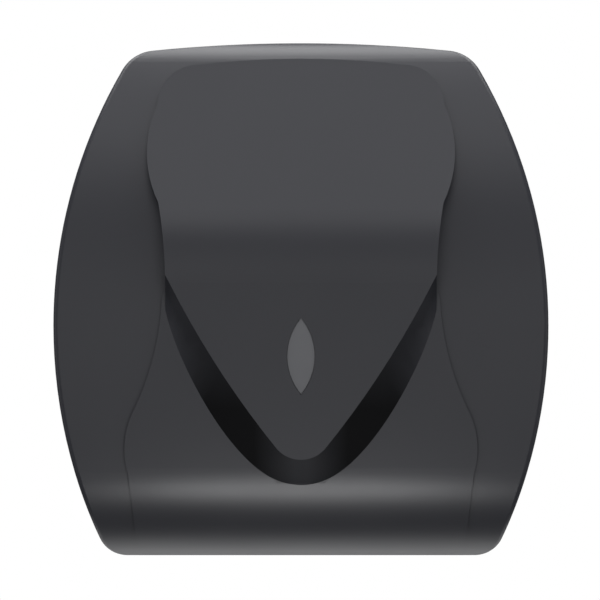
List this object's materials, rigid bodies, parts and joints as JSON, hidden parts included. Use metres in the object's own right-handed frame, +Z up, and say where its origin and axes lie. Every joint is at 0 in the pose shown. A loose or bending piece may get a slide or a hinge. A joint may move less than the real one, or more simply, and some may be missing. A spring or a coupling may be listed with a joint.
{
  "type": "paper towel dispenser",
  "caption": "Wall-mounted roll towel dispenser with a dark satin cover, raised shield front, small window, and a feed drum with an internal knife",
  "frame": {"origin": "on the wall face, midway across and at half the height of the cover", "axes": "X to the right as seen from the front, Y towards the wall (the front faces -Y), Z up"},
  "size_m": [0.3172, 0.22, 0.33],
  "materials": {
    "cover_abs": "satin moulded ABS, charcoal, fine grain",
    "window_smoke": "smoked polycarbonate, smooth",
    "case_abs": "moulded ABS, dark grey",
    "frame_abs": "moulded ABS, mid grey",
    "zinc_steel": "zinc-plated steel",
    "spring_wire": "drawn spring steel wire",
    "acetal": "acetal, natural white, slightly waxy",
    "hub_plastic": "moulded polypropylene, grey",
    "drum_abs": "moulded ABS, dark grey",
    "grip_rubber": "moulded rubber, matt black",
    "wheel_plastic": "moulded ABS, blue grey",
    "blade_steel": "ground stainless strip",
    "plated_zinc": "nickel-plated zinc casting"
  },
  "bodies": {
    "case": {"back_case": "case_abs", "hinge_pins": "zinc_steel", "case_screws": "zinc_steel", "side_frame_left": "frame_abs", "side_frame_right": "frame_abs", "paper_chute": "frame_abs", "front_guide": "frame_abs", "drum_bush_left": "acetal", "drum_bush_right": "acetal", "roll_arm_left": "frame_abs", "hub_screw_left": "zinc_steel", "arm_pivot_pin": "zinc_steel", "arm_spring": "spring_wire", "knife_cam": "acetal", "pinch_pins": "zinc_steel", "lock_keeper": "zinc_steel", "return_spring": "spring_wire", "pinch_springs": "spring_wire"},
    "cover": {"cover_shell": "cover_abs", "window_lens": "window_smoke", "lock_housing": "plated_zinc", "lock_nut": "plated_zinc"},
    "lock": {"lock_barrel": "plated_zinc", "lock_cam": "zinc_steel", "cam_screw": "zinc_steel"},
    "arm": {"roll_arm_right": "frame_abs", "hub_screw_right": "zinc_steel"},
    "hub_left": {"roll_hub_left": "hub_plastic"},
    "hub_right": {"roll_hub_right": "hub_plastic"},
    "drum": {"drum_shaft": "zinc_steel", "drum_shell_front": "drum_abs", "drum_shell_rear": "drum_abs", "drum_screws": "zinc_steel", "drum_grip_strips": "grip_rubber", "feed_wheel": "wheel_plastic", "return_crank": "acetal"},
    "knife": {"knife_carrier": "acetal", "knife_blade": "blade_steel", "knife_rivets": "zinc_steel", "knife_follower": "acetal"},
    "pinch_frame": {"pinch_bracket": "frame_abs"},
    "pinch_roll": {"pinch_shaft": "zinc_steel", "pinch_rollers": "grip_rubber"}
  },
  "joints": [
    {"name": "cover_open", "type": "hinge", "parent": "case", "child": "cover", "pos_m": [0, -0.012, -0.159], "axis": [1, 0, 0], "range_deg": [0, 90]},
    {"name": "lock_turn", "type": "hinge", "parent": "cover", "child": "lock", "pos_m": [0, -0.046, 0.15], "axis": [0, 0, 1], "range_deg": [0, 90]},
    {"name": "arm_swing", "type": "hinge", "parent": "case", "child": "arm", "pos_m": [0.112, -0.014, 0.052], "axis": [0, 0, 1], "range_deg": [0, 14], "stiffness_Nm_per_rad": 0.8, "springref_deg": -20.05, "deforming": ["arm_spring"]},
    {"name": "hub_left_spin", "type": "hinge", "parent": "case", "child": "hub_left", "pos_m": [-0.095, -0.093, 0.062], "axis": [1, 0, 0], "continuous": true},
    {"name": "hub_right_spin", "type": "hinge", "parent": "arm", "child": "hub_right", "pos_m": [0.095, -0.093, 0.062], "axis": [1, 0, 0], "continuous": true},
    {"name": "drum_spin", "type": "hinge", "parent": "case", "child": "drum", "pos_m": [0, -0.078, -0.082], "axis": [1, 0, 0], "continuous": true, "deforming": ["return_spring"]},
    {"name": "knife_swing", "type": "hinge", "parent": "drum", "child": "knife", "pos_m": [0, -0.10699, -0.08978], "axis": [-1, 0, 0], "range_deg": [0, 40]},
    {"name": "pinch_lift", "type": "hinge", "parent": "case", "child": "pinch_frame", "pos_m": [0, -0.06, -0.036], "axis": [-1, 0, 0], "range_deg": [0, 8], "stiffness_Nm_per_rad": 1.35, "springref_deg": -17.19, "deforming": ["pinch_springs"]},
    {"name": "pinch_spin", "type": "hinge", "parent": "pinch_frame", "child": "pinch_roll", "pos_m": [0, -0.10165, -0.04104], "axis": [1, 0, 0], "continuous": true}
  ],
  "couplings": [
    {"joint": "pinch_spin", "follows": "drum_spin", "ratio": -4.2222}
  ]
}
